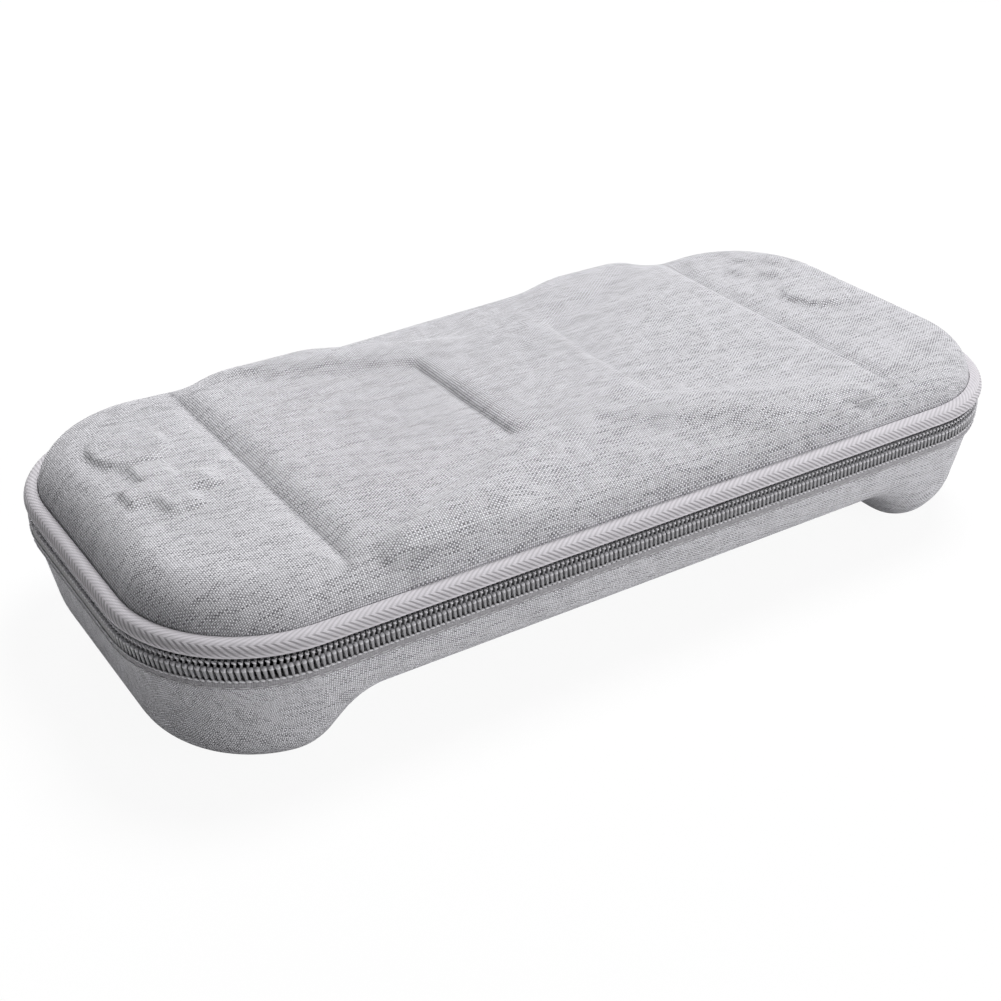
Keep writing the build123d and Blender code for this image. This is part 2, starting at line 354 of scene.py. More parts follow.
class Finish:
    """A material made of nodes."""

    def __init__(self, name):
        self.material = bpy.data.materials.new(name)
        self.material.use_nodes = True
        self.tree = self.material.node_tree
        self.shader = self.tree.nodes["Principled BSDF"]

    def node(self, kind, settings=None, values=None, output=0):
        """Adds a node, sets it up, fills its sockets and returns one of its outputs."""
        made = self.tree.nodes.new(kind)
        for key, value in (settings or {}).items():
            setattr(made, key, value)
        for key, value in (values or {}).items():
            self.fill(made.inputs[key], value)
        return Socket(self, made.outputs[output])

    def fill(self, socket, value):
        """Links or sets one socket."""
        if isinstance(value, Socket):
            self.tree.links.new(value.socket, socket)
        else:
            socket.default_value = value

    def set(self, **values):
        """Fills the shader's sockets, named with underscores."""
        for key, value in values.items():
            self.fill(self.shader.inputs[key.replace("_", " ")], value)

    def mix(self, amount, first, second):
        """A colour between two colours."""
        colours = {"Factor": amount, 6: first, 7: second}
        return self.node("ShaderNodeMix", {"data_type": "RGBA"}, colours, 2)

    def tones(self, amount, colour, dark, light):
        """A colour between a darker and a lighter tone of one colour."""
        return self.mix(amount, rgba(colour, dark), rgba(colour, light))

    def split(self, vector):
        """The three numbers of a vector."""
        parts = self.node("ShaderNodeSeparateXYZ", None, {0: vector})
        return [Socket(self, output) for output in parts.socket.node.outputs]

    def noise(self, vector, scale, detail=2.0, roughness=0.5, dimensions="3D"):
        """Soft noise from 0 to 1."""
        sizes = {"Vector": vector, "Scale": scale, "Detail": detail, "Roughness": roughness}
        return self.node("ShaderNodeTexNoise", {"noise_dimensions": dimensions}, sizes, "Fac")

    def join(self, x, y, z=0.0):
        """A vector from three numbers."""
        return self.node("ShaderNodeCombineXYZ", None, {0: x, 1: y, 2: z})

    def clip(self, value, low, high):
        """Low to high mapped to 0 to 1, smoothly."""
        edges = {"Value": value, "From Min": low, "From Max": high}
        return self.node("ShaderNodeMapRange", {"interpolation_type": "SMOOTHSTEP"}, edges)

    def bump(self, height, distance, strength=1.0):
        """Raises the surface by a height from 0 to 1."""
        sizes = {"Height": height, "Distance": distance, "Strength": strength}
        self.set(Normal=self.node("ShaderNodeBump", None, sizes))

    def place(self):
        """Object coordinates."""
        return self.node("ShaderNodeTexCoord", None, None, "Object")

    def stored(self, name, output):
        """A value that is stored on the mesh."""
        return self.node("ShaderNodeAttribute", {"attribute_name": name}, None, output)

    def along_strip(self):
        """Places along and across a strip, in metres."""
        return self.split(self.node("ShaderNodeUVMap", {"uv_map": "UVMap"}))[:2]

    def cells(self, place, pitch):
        """The number of the cell that a place lies in, and the place in that cell from -1 to 1."""
        count = place / pitch
        number = count.math("FLOOR")
        return number, 2 * (count - number) - 1

    def yarns(self, place, pitch):
        """Round yarns side by side: 1 along the middle of each and 0 between them."""
        return 1 - (2 * ((place / pitch) % 1.0) - 1) ** 2.0


def heathered_cloth(cloth):
    """Plain weave of pale yarns with painted shade in the gaps between them, dyed streaks along the case,
    and painted shade in the lid's grooves and creases.
    """
    finish = Finish("heathered_cloth")
    along, across, _ = finish.split(finish.stored("cloth", "Vector"))
    column, warp_side = finish.cells(along, cloth.warp_pitch)
    row, weft_side = finish.cells(across, cloth.weft_pitch)
    weft_over = (column + row) % 2.0
    side = weft_over * weft_side + (1 - weft_over) * warp_side
    run = weft_over * warp_side + (1 - weft_over) * weft_side
    strand = (4.0 * side + 2.4 * run).math("SINE")
    pillow = (1 - (side * side) ** 1.5) * (1 - (run * run) ** 2.5)
    weft_dye = finish.noise(finish.join(along * 170.0, row * 7.31), 1.0, 3.0, 0.6, "2D")
    warp_dye = finish.noise(finish.join(column * 5.17, across * 140.0), 1.0, 2.0, 0.6, "2D")
    batch = finish.noise(finish.join(along * 34.0, across * 260.0), 1.0, 2.0, 0.5, "2D")
    weft_pale = finish.clip(0.88 * weft_dye + 0.12 * batch, 0.30, 0.62)
    warp_pale = finish.clip(warp_dye, 0.25, 0.75)
    pale = weft_over * (0.16 + 0.62 * weft_pale) + (1 - weft_over) * (0.82 + 0.24 * warp_pale)
    # Painted shade in the lid's grooves and creases, stored on the mesh, darkens the cloth by up to half
    crease_shade = finish.stored("crease", "Fac")
    # Painted shade: the pillow darkens the gaps between the yarns to a tenth
    shade = pale * (0.10 + 0.86 * pillow) * (1 + 0.07 * strand) * (1 - 0.5 * crease_shade)
    finish.set(Base_Color=finish.mix(shade, rgba(cloth.grey_yarn), rgba(cloth.pale_yarn)))
    finish.set(Roughness=0.95 - 0.12 * pale)
    finish.set(Specular_IOR_Level=0.2, Sheen_Weight=0.1, Sheen_Roughness=0.5)
    finish.bump(pillow + 0.12 * strand, 0.14 * MM, 0.7)
    return finish.material


def brushed_lining(cloth):
    """Short dark pile that lies in soft patches."""
    finish = Finish("brushed_lining")
    place = finish.place()
    patch = finish.noise(place, 90.0, 3.0)
    pile = finish.noise(place, 2600.0, 2.0, 0.7)
    finish.set(Base_Color=finish.tones(0.35 * patch + 0.6 * pile, cloth.lining, 1.0, 2.1))
    finish.set(Roughness=0.85 + 0.1 * pile)
    finish.set(Specular_IOR_Level=0.2, Sheen_Weight=0.5, Sheen_Roughness=0.4)
    finish.bump(pile, 0.2 * MM, 0.6)
    return finish.material


def herringbone_tape(zip_sizes, apex, web):
    """Twill ribs that meet in a V along the bead, clear below it and fine above, and painted shade on the
    web behind the coil.
    """
    finish = Finish("herringbone_tape")
    along, across = finish.along_strip()
    past = across - apex
    below = finish.clip(past, -0.2 * MM, 0.2 * MM)
    turn = (along + 1.45 * abs(past)) * (math.pi / zip_sizes.rib_pitch)
    rib = turn.math("SINE") ** 2.0
    clear = (0.45 + 0.55 * below) * (1 - 0.75 * finish.clip(past, 2.0 * MM, 3.0 * MM))
    twist = finish.yarns(across, 0.42 * MM)
    wear = finish.noise(finish.join(along * 300.0, across * 900.0), 1.0, 3.0, 0.6, "2D")
    crease = 1 - (1 - finish.clip(rib, 0.0, 0.8)) * clear
    shade = crease * (0.82 + 0.18 * twist) * (0.75 + 0.5 * wear)
    # Painted shade: the web behind the coil is painted near-black
    web_shade = finish.clip(across, web, web + 0.3 * MM)
    body = finish.tones(shade, zip_sizes.bead, 0.62, 1.12)
    finish.set(Base_Color=finish.mix(web_shade, body, SHADED_WEB))
    finish.set(Roughness=0.85 - 0.15 * rib)
    finish.set(Specular_IOR_Level=0.25, Sheen_Weight=0.1)
    finish.bump(0.8 * crease + 0.2 * twist, 0.22 * MM, 0.6)
    return finish.material


def ribbed_tape(name, colour, rib, web=-1.0):
    """Tape of small woven cells. Its first part, the web behind the coil, is painted dark as shade."""
    finish = Finish(name)
    along, across = finish.along_strip()
    column, warp_side = finish.cells(along, rib)
    row, weft_side = finish.cells(across, rib)
    pillow = (1 - warp_side * warp_side) * (1 - weft_side * weft_side)
    cell = {"Vector": finish.join(column, row)}
    fleck = finish.node("ShaderNodeTexWhiteNoise", {"noise_dimensions": "2D"}, cell)
    shade = (0.45 + 0.55 * pillow) * (0.6 + 0.4 * fleck)
    body = finish.tones(shade, colour, 0.5, 1.25)
    # Painted shade on the web behind the coil
    web_shade = finish.clip(across, web + 0.3 * MM, web)
    finish.set(Base_Color=finish.mix(web_shade, body, SHADED_WEB))
    finish.set(Roughness=0.9 - 0.1 * pillow)
    finish.set(Specular_IOR_Level=0.25, Sheen_Weight=0.1)
    finish.bump(pillow, 0.12 * MM, 0.7)
    return finish.material


def coil_nylon(name, zip_sizes, low, high):
    """Satin grey nylon with faint drawing marks, and a painted highlight between two levels, where the
    heads are.
    """
    finish = Finish(name)
    place = finish.place()
    _, _, z = finish.split(place)
    cloud = finish.noise(place, 180.0, 2.0)
    mark = finish.noise(place, 3200.0, 2.0, 0.6)
    # Painted highlight: the heads are painted paler, where light catches them
    head = finish.clip(z, low, low + 0.25 * MM) * finish.clip(z, high + 0.25 * MM, high)
    finish.set(Base_Color=finish.tones(0.25 * cloud + 0.75 * head, zip_sizes.nylon, 0.55, 1.45))
    finish.set(Roughness=0.28 + 0.2 * mark)
    finish.set(Specular_IOR_Level=0.5)
    finish.bump(mark, 0.02 * MM, 0.5)
    return finish.material


def sewing_thread(zip_sizes):
    """Twisted polyester thread."""
    finish = Finish("sewing_thread")
    x, y, z = finish.split(finish.place())
    turn = finish.yarns(x + y + 1.7 * z, 0.34 * MM)
    finish.set(Base_Color=finish.tones(turn, zip_sizes.thread, 0.6, 1.15))
    finish.set(Roughness=0.7 - 0.2 * turn)
    finish.set(Specular_IOR_Level=0.35, Sheen_Weight=0.1)
    finish.bump(turn, 0.05 * MM, 0.6)
    return finish.material


def edge_ribbon():
    """Dark ribbon with ribs along the rim."""
    finish = Finish("edge_ribbon")
    place = finish.place()
    _, _, z = finish.split(place)
    rib = finish.yarns(z, 0.55 * MM)
    fleck = finish.noise(place, 2200.0, 2.0, 0.7)
    valley = (0.022, 0.022, 0.025, 1.0)
    crest = (0.075, 0.075, 0.082, 1.0)
    finish.set(Base_Color=finish.mix(rib * (0.5 + fleck), valley, crest))
    finish.set(Roughness=0.75 + 0.15 * fleck)
    finish.set(Specular_IOR_Level=0.3, Sheen_Weight=0.2)
    finish.bump(rib, 0.12 * MM, 0.6)
    return finish.material


def baked_enamel(zip_sizes):
    """Grey enamel on cast metal, a little uneven, with fine rubbed scratches."""
    finish = Finish("baked_enamel")
    place = finish.place()
    cloud = finish.noise(place, 260.0, 3.0)
    peel = finish.noise(place, 1900.0, 2.0)
    stretched = finish.node("ShaderNodeMapping", None, {"Vector": place, "Scale": (900.0, 900.0, 5200.0)})
    scratch = finish.clip(finish.noise(stretched, 1.0, 2.0, 0.7), 0.66, 0.74)
    body = finish.tones(cloud, zip_sizes.enamel, 0.88, 1.12)
    finish.set(Base_Color=finish.mix(0.5 * scratch, body, rgba(zip_sizes.enamel, 1.9)))
    finish.set(Roughness=0.30 + 0.12 * peel + 0.15 * scratch, Metallic=0.35)
    finish.set(Coat_Roughness=0.15)
    finish.set(Coat_Weight=0.4 - 0.3 * scratch)
    finish.bump(peel, 0.03 * MM, 0.4)
    return finish.material


def activate(thing):
    """Makes one object the only selected and active one."""
    bpy.ops.object.select_all(action="DESELECT")
    thing.select_set(True)
    bpy.context.view_layer.objects.active = thing


def apply_modifier(thing, kind, **settings):
    """Adds a modifier to an object and applies it."""
    activate(thing)
    bpy.ops.object.modifier_add(type=kind)
    modifier = thing.modifiers[-1]
    for key, value in settings.items():
        setattr(modifier, key, value)
    bpy.ops.object.modifier_apply(modifier=modifier.name)


def edit_all(thing, *steps):
    """Runs edit mode operators on the whole of an object."""
    activate(thing)
    bpy.ops.object.mode_set(mode="EDIT")
    bpy.ops.mesh.select_all(action="SELECT")
    for step in steps:
        step()
    bpy.ops.object.mode_set(mode="OBJECT")


def shade_smooth(thing):
    """Shades an object smoothly all over."""
    activate(thing)
    bpy.ops.object.shade_smooth()


def shade_folds(thing):
    """Shades an object smoothly, apart from its folds."""
    activate(thing)
    bpy.ops.object.shade_smooth_by_angle(angle=math.radians(50))


def points_of(thing):
    """The object's vertices as rows of numbers."""
    flat = np.empty(len(thing.data.vertices) * 3)
    thing.data.vertices.foreach_get("co", flat)
    return flat.reshape(-1, 3)


def move_points(thing, points):
    """Puts the object's vertices at these places."""
    thing.data.vertices.foreach_set("co", np.asarray(points, float).ravel())
    thing.data.update()


def ramp(value, low, high):
    """From 0 to 1 as a value goes from low to high."""
    return np.clip((value - low) / (high - low), 0.0, 1.0)


def dress(thing, body, slot, replaced, *materials):
    """Gives a piece its finishes and its body, and hides the solids that it stands for."""
    thing.data.materials.clear()
    for material in materials:
        thing.data.materials.append(material)
    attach(thing, body)
    if replaced:
        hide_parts(*replaced)


def refinish(nodes, material):
    """Gives solids that stay as they are a finish."""
    for node in nodes:
        mesh = NODES[node].data
        mesh.materials.clear()
        mesh.materials.append(material)


def outline_path():
    """Guide along the case's outline, clockwise from the right end of the hinge and all the way round."""
    corners = [
        (STRAIGHT_X, STRAIGHT_Y, 90.0),
        (STRAIGHT_X, -STRAIGHT_Y, 0.0),
        (-STRAIGHT_X, -STRAIGHT_Y, -90.0),
        (-STRAIGHT_X, STRAIGHT_Y, -180.0),
    ]
    turns = 24
    bends = []
    for x, y, start in corners:
        for step in range(turns + 1):
            angle = math.radians(start - 90.0 * step / turns)
            bends.append((x + CORNER * math.cos(angle), y + CORNER * math.sin(angle)))
    spacing = CORNER * math.pi / 2 / turns
    points = []
    for one, two in zip(bends, bends[1:] + bends[:1]):
        pieces = max(1, round(math.dist(one, two) / spacing))
        for step in range(pieces):
            share = step / pieces
            points.append((one[0] + (two[0] - one[0]) * share, one[1] + (two[1] - one[1]) * share))
    curve = bpy.data.curves.new("zip_path", "CURVE")
    curve.dimensions = "3D"
    curve.twist_mode = "Z_UP"
    spline = curve.splines.new("POLY")
    spline.points.add(len(points) - 1)
    for point, (x, y) in zip(spline.points, points):
        point.co = (x, y, 0.0, 1.0)
    spline.use_cyclic_u = True
    guide = bpy.data.objects.new("zip_path", curve)
    bpy.context.scene.collection.objects.link(guide)
    return guide, spline.calc_length()


def lay_along(thing):
    """Bends an object that lies along X, with Y outwards, round the case's outline."""
    guide, length = outline_path()
    points = points_of(thing)
    points[:, 0] *= length / PATH_LENGTH
    move_points(thing, points)
    apply_modifier(thing, "CURVE", object=guide, deform_axis="POS_X")
    bpy.data.objects.remove(guide)


def straight_strip(name, profile, start, length, count):
    """A strip along X whose section is a closed loop of (out, up) points, with a UV map in metres."""
    section = np.array(profile + profile[:1])
    run = np.concatenate([[0.0], np.cumsum(np.hypot(*np.diff(section, axis=0).T))])
    bpy.ops.object.select_all(action="DESELECT")
    bpy.ops.mesh.primitive_grid_add(x_subdivisions=count, y_subdivisions=len(profile), size=1.0)
    strip = bpy.context.object
    strip.name = name
    points = points_of(strip)
    column = np.rint((points[:, 0] + 0.5) * count).astype(int)
    row = np.rint((points[:, 1] + 0.5) * len(profile)).astype(int)
    along = start + column / count * length
    corners = np.empty(len(strip.data.loops), int)
    strip.data.loops.foreach_get("vertex_index", corners)
    layer = strip.data.uv_layers.active
    layer.name = "UVMap"
    layer.data.foreach_set("uv", np.column_stack([along[corners], run[row[corners]]]).ravel())
    move_points(strip, np.column_stack([along, section[row, 0], section[row, 1]]))
    return strip


def lay_strip(name, profile):
    """A strip that is bent round the case's outline and closed there."""
    step = 2.2 * MM
    strip = straight_strip(name, profile, 0.0, PATH_LENGTH, round(PATH_LENGTH / step))
    lay_along(strip)
    edit_all(
        strip,
        lambda: bpy.ops.mesh.remove_doubles(threshold=0.08 * MM),
        lambda: bpy.ops.mesh.normals_make_consistent(inside=False),
    )
    shade_folds(strip)
    return strip


def repeat_along(thing, count, pitch):
    """Copies an object along X. Returns all its points, and the middle of each one's own copy."""
    apply_modifier(
        thing,
        "ARRAY",
        count=count,
        use_relative_offset=False,
        use_constant_offset=True,
        constant_offset_displace=(pitch, 0.0, 0.0),
    )
    points = points_of(thing)
    return points, np.rint(points[:, 0] / pitch) * pitch


def arc_points(centre, radius, start, end, count):
    """Points of (out, up) along an arc, ends included, in degrees."""
    angles = np.radians(np.linspace(start, end, count))
    return [(centre[0] + radius * math.cos(a), centre[1] + radius * math.sin(a)) for a in angles]


def moulded_shell(name, node, voxel, passes):
    """A copy of a moulded solid on an even mesh, smoothed all over in a few passes."""
    activate(NODES[node])
    bpy.ops.object.duplicate()
    shell = bpy.context.object
    shell.name = name
    shell.parent = None
    for key in list(shell.keys()):
        del shell[key]
    edit_all(shell, lambda: bpy.ops.mesh.remove_doubles(threshold=0.005 * MM))
    apply_modifier(shell, "REMESH", mode="VOXEL", voxel_size=voxel, adaptivity=0.0)
    apply_modifier(shell, "SMOOTH", factor=0.5, iterations=passes)
    shade_smooth(shell)
    return shell


def smooth_by_weight(shell, weights, passes):
    """Smooths a shell by a weight from 0 to 1 for each of its points."""
    group = shell.vertex_groups.new(name="soft")
    levels = 8
    for level in range(1, levels + 1):
        chosen = np.flatnonzero(np.rint(weights * levels) == level)
        group.add(chosen.tolist(), level / levels, "REPLACE")
    apply_modifier(shell, "SMOOTH", factor=0.5, iterations=passes, vertex_group=group.name)
    shell.vertex_groups.clear()


def relax_relief(shell):
    """Softens the lid's cross and bumps, as foam under cloth is, and leaves grooves and creases sharp."""
    x, y, z = abs(points_of(shell)).T
    groove = ramp(abs(x - GROOVE_X), 0.6 * MM, 2.6 * MM)
    crease = ramp(abs(x - CREASE_X), 0.6 * MM, 2.6 * MM)
    past_crease = ramp(y, 24 * MM, 29 * MM)
    short_of_ends = np.maximum(ramp(x, 97 * MM, 93 * MM), 0.16)
    top = ramp(z, RELIEF_FOOT, RELIEF_FOOT + 4 * MM)
    smooth_by_weight(shell, groove * np.maximum(crease, past_crease) * short_of_ends * top, 70)

    # The arms' knees at the back
    x, y, z = points_of(shell).T
    knee = ramp(abs(abs(x) - 80 * MM), 16 * MM, 6 * MM)
    back = ramp(y, 42 * MM, 48 * MM)
    high = ramp(z, RELIEF_FOOT - 2 * MM, RELIEF_FOOT + 1 * MM)
    smooth_by_weight(shell, knee * back * high, 90)


def seat_bumps(shell):
    """Eases the bumps over the left stick and the direction pad outwards, and sets the cross askew."""
    points = points_of(shell)
    x, y, z = points.T.copy()
    top = ramp(z, RELIEF_FOOT, RELIEF_FOOT + 4 * MM)
    middle = ramp(abs(x), 88 * MM, 63 * MM)
    back = ramp(y, 5 * MM, 45 * MM)
    askew = 1.3 * MM * np.clip(x / (40 * MM), -1.0, 1.0)
    points[:, 2] += askew * top * middle * back
    reach = 15 * MM
    for bump_x, bump_y, ease_x, ease_y in ((-107.5, 23.0, -2.0, 2.0), (-106.5, 0.0, -2.0, 0.0)):
        away = np.hypot(points[:, 0] - bump_x * MM, points[:, 1] - bump_y * MM)
        share = top * np.exp(-((away / reach) ** 4))
        points[:, 0] += ease_x * MM * share
        points[:, 1] += ease_y * MM * share
    move_points(shell, points)


def cloth_map(shell, level, sign):
    """Stores how far each point lies along the cloth, unrolled from the moulding's flat over its walls."""
    points = points_of(shell)
    shoulder = 14.0 * MM
    turn = 20.0 * MM
    bend_saving = 0.43
    straight_x = HALF_LENGTH - shoulder - turn
    straight_y = HALF_DEPTH - shoulder - turn
    away_x = points[:, 0] - np.clip(points[:, 0], -straight_x, straight_x)
    away_y = points[:, 1] - np.clip(points[:, 1], -straight_y, straight_y)
    away = np.hypot(away_x, away_y)
    out = np.maximum(away - turn, 0.0)
    drop = np.maximum(sign * (level - points[:, 2]), 0.0) * (out > 0)
    spare = (drop - bend_saving * np.minimum(out, drop)) / np.maximum(away, turn)
    cloth = np.column_stack([points[:, 0] + away_x * spare, points[:, 1] + away_y * spare, 0 * away])
    store = shell.data.attributes.new("cloth", "FLOAT_VECTOR", "POINT")
    store.data.foreach_set("vector", cloth.ravel())


def crease_shade_map(shell):
    """Stores painted shade, from 0 to 1, where the cloth is pinched into the lid's grooves and creases."""
    points = points_of(shell)
    x, y, z = abs(points).T
    shade_profiles = []
    for line, inner_run in ((GROOVE_X, 2.0 * MM), (CREASE_X, 2.4 * MM)):
        inner = ramp(x, line - inner_run, line)
        outer = ramp(x, line + 0.5 * MM, line)
        shade_profiles.append(np.minimum(inner, outer) ** 1.5)
    groove = shade_profiles[0] * ramp(z, 48.4 * MM, 49.4 * MM)
    crease = shade_profiles[1] * ramp(y, 26 * MM, 22 * MM) * (z > 50 * MM)
    # The crease on the right, towards the light, gets fainter painted shade
    faint_right = np.where(points[:, 0] > 0, 0.35, 1.0)
    # The attribute named crease holds this painted shade
    store = shell.data.attributes.new("crease", "FLOAT", "POINT")
    store.data.foreach_set("value", np.maximum(groove, crease * faint_right))


def line_inside(shell, middle):
    """Gives the faces that look into the case the second finish."""
    flat = np.empty(len(shell.data.polygons) * 3)
    shell.data.polygons.foreach_get("center", flat)
    centre = flat.reshape(-1, 3).copy()
    shell.data.polygons.foreach_get("normal", flat)
    normal = flat.reshape(-1, 3)
    heart_x = 100 * MM
    heart_y = 24 * MM
    heart = np.column_stack([
        np.clip(centre[:, 0], -heart_x, heart_x),
        np.clip(centre[:, 1], -heart_y, heart_y),
        np.full(len(centre), middle),
    ])
    inwards = ((centre - heart) * normal).sum(axis=1) < 0
    shell.data.polygons.foreach_set("material_index", inwards.astype(np.int32))


class CASE_OT_lid_cover(bpy.types.Operator):
    """Dress the moulded lid in heathered cloth outside and lining inside"""

    bl_idname = "zipcase.lid_cover"
    bl_label = "Lid cover"

    def execute(self, context):
        cloth = context.scene.case_cloth
        shell = moulded_shell("lid_cover", "lid_shell", cloth.lid_grain, passes=3)
        relax_relief(shell)
        seat_bumps(shell)
        cloth_map(shell, level=51.0 * MM, sign=1)
        crease_shade_map(shell)
        dress(shell, "lid", "grey_cloth", ["lid_shell"], heathered_cloth(cloth), brushed_lining(cloth))
        line_inside(shell, middle=30 * MM)
        return {"FINISHED"}


class CASE_OT_base_cover(bpy.types.Operator):
    """Dress the moulded base in heathered cloth outside and lining inside"""

    bl_idname = "zipcase.base_cover"
    bl_label = "Base cover"

    def execute(self, context):
        cloth = context.scene.case_cloth
        shell = moulded_shell("base_cover", "base_shell", cloth.base_grain, passes=5)
        cloth_map(shell, level=0.0, sign=-1)
        dress(shell, "base", "grey_cloth", ["base_shell"], heathered_cloth(cloth), brushed_lining(cloth))
        line_inside(shell, middle=36 * MM)
        return {"FINISHED"}


class CASE_OT_bead(bpy.types.Operator):
    """Roll the herringbone tape over the lid's rim"""

    bl_idname = "zipcase.bead"
    bl_label = "Bead"

    def execute(self, context):
        sizes = context.scene.case_zip
        top = BEAD_HIGH.z
        bottom = LID_COIL_HIGH.z + 0.7 * MM
        web = BEAD_LOW.z
        out = BEAD_HIGH.x - HALF_LENGTH
        upper = 2.6 * MM
        lower = 1.6 * MM
        profile = [(0.0, top)]
        profile += arc_points((out - upper, top - upper), upper, 90, 0, 9)
        profile += arc_points((out - lower, bottom + lower), lower, -9, -90, 5)
        profile += [(WEB_OUTER, bottom)]
        rolled = sum(math.dist(*pair) for pair in zip(profile, profile[1:]))
        profile += [(WEB_OUTER, web), (WEB_INNER, web), (WEB_INNER, bottom), (0.0, bottom)]
        bead = lay_strip("bead_tape", profile)
        apex = 3.1 * MM
        dress(bead, "lid", "bead_tape", ["lid_tape"], herringbone_tape(sizes, apex, rolled))
        return {"FINISHED"}


class CASE_OT_lower_tape(bpy.types.Operator):
    """Fold the lower tape over the base's rim"""

    bl_idname = "zipcase.lower_tape"
    bl_label = "Lower tape"

    def execute(self, context):
        sizes = context.scene.case_zip
        rim = BASE_HIGH.z
        out = TAPE_HIGH.x - HALF_LENGTH
        edge = TAPE_LOW.z
        fold = 0.5 * MM
        profile = [(WEB_INNER, TAPE_HIGH.z), (WEB_OUTER, TAPE_HIGH.z), (WEB_OUTER, rim + fold)]
        profile += arc_points((out - fold, rim), fold, 90, 0, 4)
        profile += [(out, rim - 0.6 * MM), (out, edge)]
        profile += [(out - fold, edge), (out - fold, rim), (WEB_INNER, rim)]
        tape = lay_strip("lower_tape", profile)
        weave = ribbed_tape("lower_tape_weave", sizes.tape, 0.5 * MM, 3.0 * MM)
        dress(tape, "base", "lower_tape", ["base_tape"], weave)
        return {"FINISHED"}


def coil_loop(sizes, foot, head):
    """One hairpin of nylon, standing up from its foot: two legs, one behind the other, and a round head."""
    radius = sizes.wire / 2
    front = LID_COIL_HIGH.x - HALF_LENGTH - radius
    bend = 0.5 * MM
    middle = front - bend
    bpy.ops.object.select_all(action="DESELECT")
    bpy.ops.mesh.primitive_circle_add(vertices=6, radius=radius, location=(0.0, front, foot))
    loop = bpy.context.object
    bpy.ops.object.transform_apply(location=True, rotation=True, scale=True)
    bpy.ops.object.mode_set(mode="EDIT")
    bpy.ops.mesh.select_all(action="SELECT")
    leg = head - radius - bend - foot
    bpy.ops.mesh.extrude_region_move(TRANSFORM_OT_translate={"value": (0.0, 0.0, leg)})
    bpy.ops.mesh.spin(steps=5, angle=math.pi, center=(0.0, middle, foot + leg), axis=(-1.0, 0.0, 0.0))
    bpy.ops.mesh.extrude_region_move(TRANSFORM_OT_translate={"value": (0.0, 0.0, -leg)})
    bpy.ops.mesh.select_all(action="SELECT")
    bpy.ops.mesh.normals_make_consistent(inside=False)
    bpy.ops.object.mode_set(mode="OBJECT")
    return loop


def wound_coil(name, sizes, reach, flip, depth, wide, jut):
    """Half of the zip chain: leaning loops with widened heads, squeezed back where the sliders run."""
    foot = BASE_COIL_LOW.z - ZIP_MIDDLE
    coil = coil_loop(sizes, foot, reach)
    coil.name = name
    points, loop = repeat_along(coil, int(COIL_RUN / sizes.coil_pitch) - 1, sizes.coil_pitch)
    rise = points[:, 2] - foot
    along = loop + sizes.coil_pitch * (1.0 if flip > 0 else 0.5)
    slider_room = ramp(abs(along - RIGHT_END_MIDDLE), 27 * MM, 24 * MM)
    squeeze = 1.0 - slider_room * (reach + 0.36 * MM) / (reach - foot)
    head = ramp(points[:, 2], -0.6 * MM, reach - 0.6 * MM) * (1.0 - slider_room)
    width = (points[:, 0] - loop) * (1.0 + wide * head)
    lean = 0.16 * rise
    out = WEB_OUTER + (points[:, 1] - WEB_OUTER) * depth + jut * head
    up = ZIP_MIDDLE + flip * (foot + rise * squeeze)
    move_points(coil, np.column_stack([along + width + lean, out, up]))
    lay_along(coil)
    edit_all(coil, lambda: bpy.ops.mesh.normals_make_consistent(inside=False))
    shade_smooth(coil)
    return coil


class CASE_OT_coil(bpy.types.Operator):
    """Wind the two halves of the zip chain and mesh their loops"""

    bl_idname = "zipcase.coil"
    bl_label = "Zip coil"

    def execute(self, context):
        sizes = context.scene.case_zip
        reach = 0.85 * MM
        for name, node, body, flip, depth, wide, jut in (
            ("base_loops", "base_coil", "base", 1, 1.0, 0.75, 0.35 * MM),
            ("lid_loops", "lid_coil", "lid", -1, 0.75, -0.1, 0.0),
        ):
            coil = wound_coil(name, sizes, reach, flip, depth, wide, jut)
            # Far level of the painted highlight on the heads
            highlight_to = ZIP_MIDDLE + flip * reach
            nylon = coil_nylon(name + "_nylon", sizes, ZIP_MIDDLE - 0.1 * MM, highlight_to)
            dress(coil, body, "zip_nylon", [node], nylon)
        return {"FINISHED"}


def stitch_bar(length, width, lift):
    """One short stitch that lies along X, thick in the middle and sunk at its ends."""
    bpy.ops.object.select_all(action="DESELECT")
    lying = (0.0, math.pi / 2, 0.0)
    bpy.ops.mesh.primitive_cylinder_add(vertices=6, radius=width / 2, depth=length, rotation=lying)
    bar = bpy.context.object
    bpy.ops.object.transform_apply(location=True, rotation=True, scale=True)
    bpy.ops.object.mode_set(mode="EDIT")
    for share in (0.0, 0.3, -0.3):
        bpy.ops.mesh.select_all(action="SELECT")
        bpy.ops.mesh.bisect(plane_co=(share * length, 0.0, 0.0), plane_no=(1.0, 0.0, 0.0))
    bpy.ops.object.mode_set(mode="OBJECT")
    points = points_of(bar)
    share = 1.0 - (2.0 * points[:, 0] / length) ** 2
    points[:, 1:] *= (0.35 + 0.65 * np.sqrt(np.maximum(share, 0.0)))[:, None]
    points[:, 1] += lift * share
    move_points(bar, points)
    return bar


def stitch_row(name, bar, pitch, lead, run, place, slant):
    """Copies a stitch along the outline, at a place of (out, up), slanted in the row."""
    bar.name = name
    points, middle = repeat_along(bar, int(run / pitch) - 1, pitch)
    points[:, 2] += slant * (points[:, 0] - middle) + place[1]
    points[:, 1] += place[0]
    points[:, 0] += lead
    move_points(bar, points)
    lay_along(bar)
    shade_smooth(bar)
    return bar


